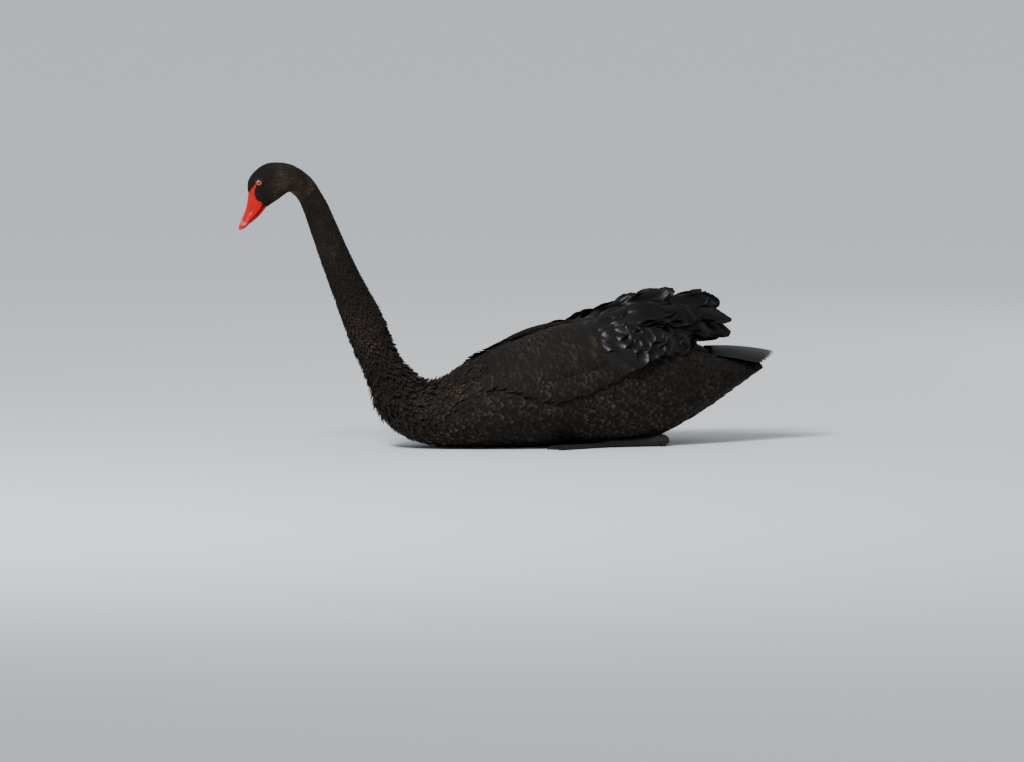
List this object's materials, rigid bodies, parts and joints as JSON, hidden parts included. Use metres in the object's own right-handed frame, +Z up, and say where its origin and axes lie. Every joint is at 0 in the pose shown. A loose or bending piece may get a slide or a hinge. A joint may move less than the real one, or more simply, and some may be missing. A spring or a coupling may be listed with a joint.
{
  "type": "black swan",
  "caption": "Life-size black swan model resting on its belly with neck raised, curled wing plumes, short tail and tucked webbed feet.",
  "frame": {"origin": "on the floor under the middle of the belly, in the bird's middle plane", "axes": "+X towards the tail, so the head points to -X; the bird's left side is -Y; +Z up"},
  "size_m": [0.9149, 0.2686, 0.477],
  "materials": {
    "plumage": "matt blackish brown body feathers with paler brown edges",
    "flight_feathers": "black flight and tail feathers with a soft gloss",
    "bill": "smooth waxy red horn with a pale band near the tip",
    "eye": "wet, orange red iris with a dark pupil",
    "leg_skin": "dark grey scaled skin"
  },
  "bodies": {
    "root": {"head": "plumage", "bill_upper": "bill", "bill_lower": "bill", "eye_left": "eye", "eye_right": "eye", "neck_upper": "plumage", "neck_middle": "plumage", "neck_lower": "plumage", "torso": "plumage", "wing_left": "flight_feathers", "wing_right": "flight_feathers", "tail": "flight_feathers", "leg_left": "leg_skin", "leg_right": "leg_skin", "foot_left": "leg_skin", "foot_right": "leg_skin"}
  },
  "joints": []
}
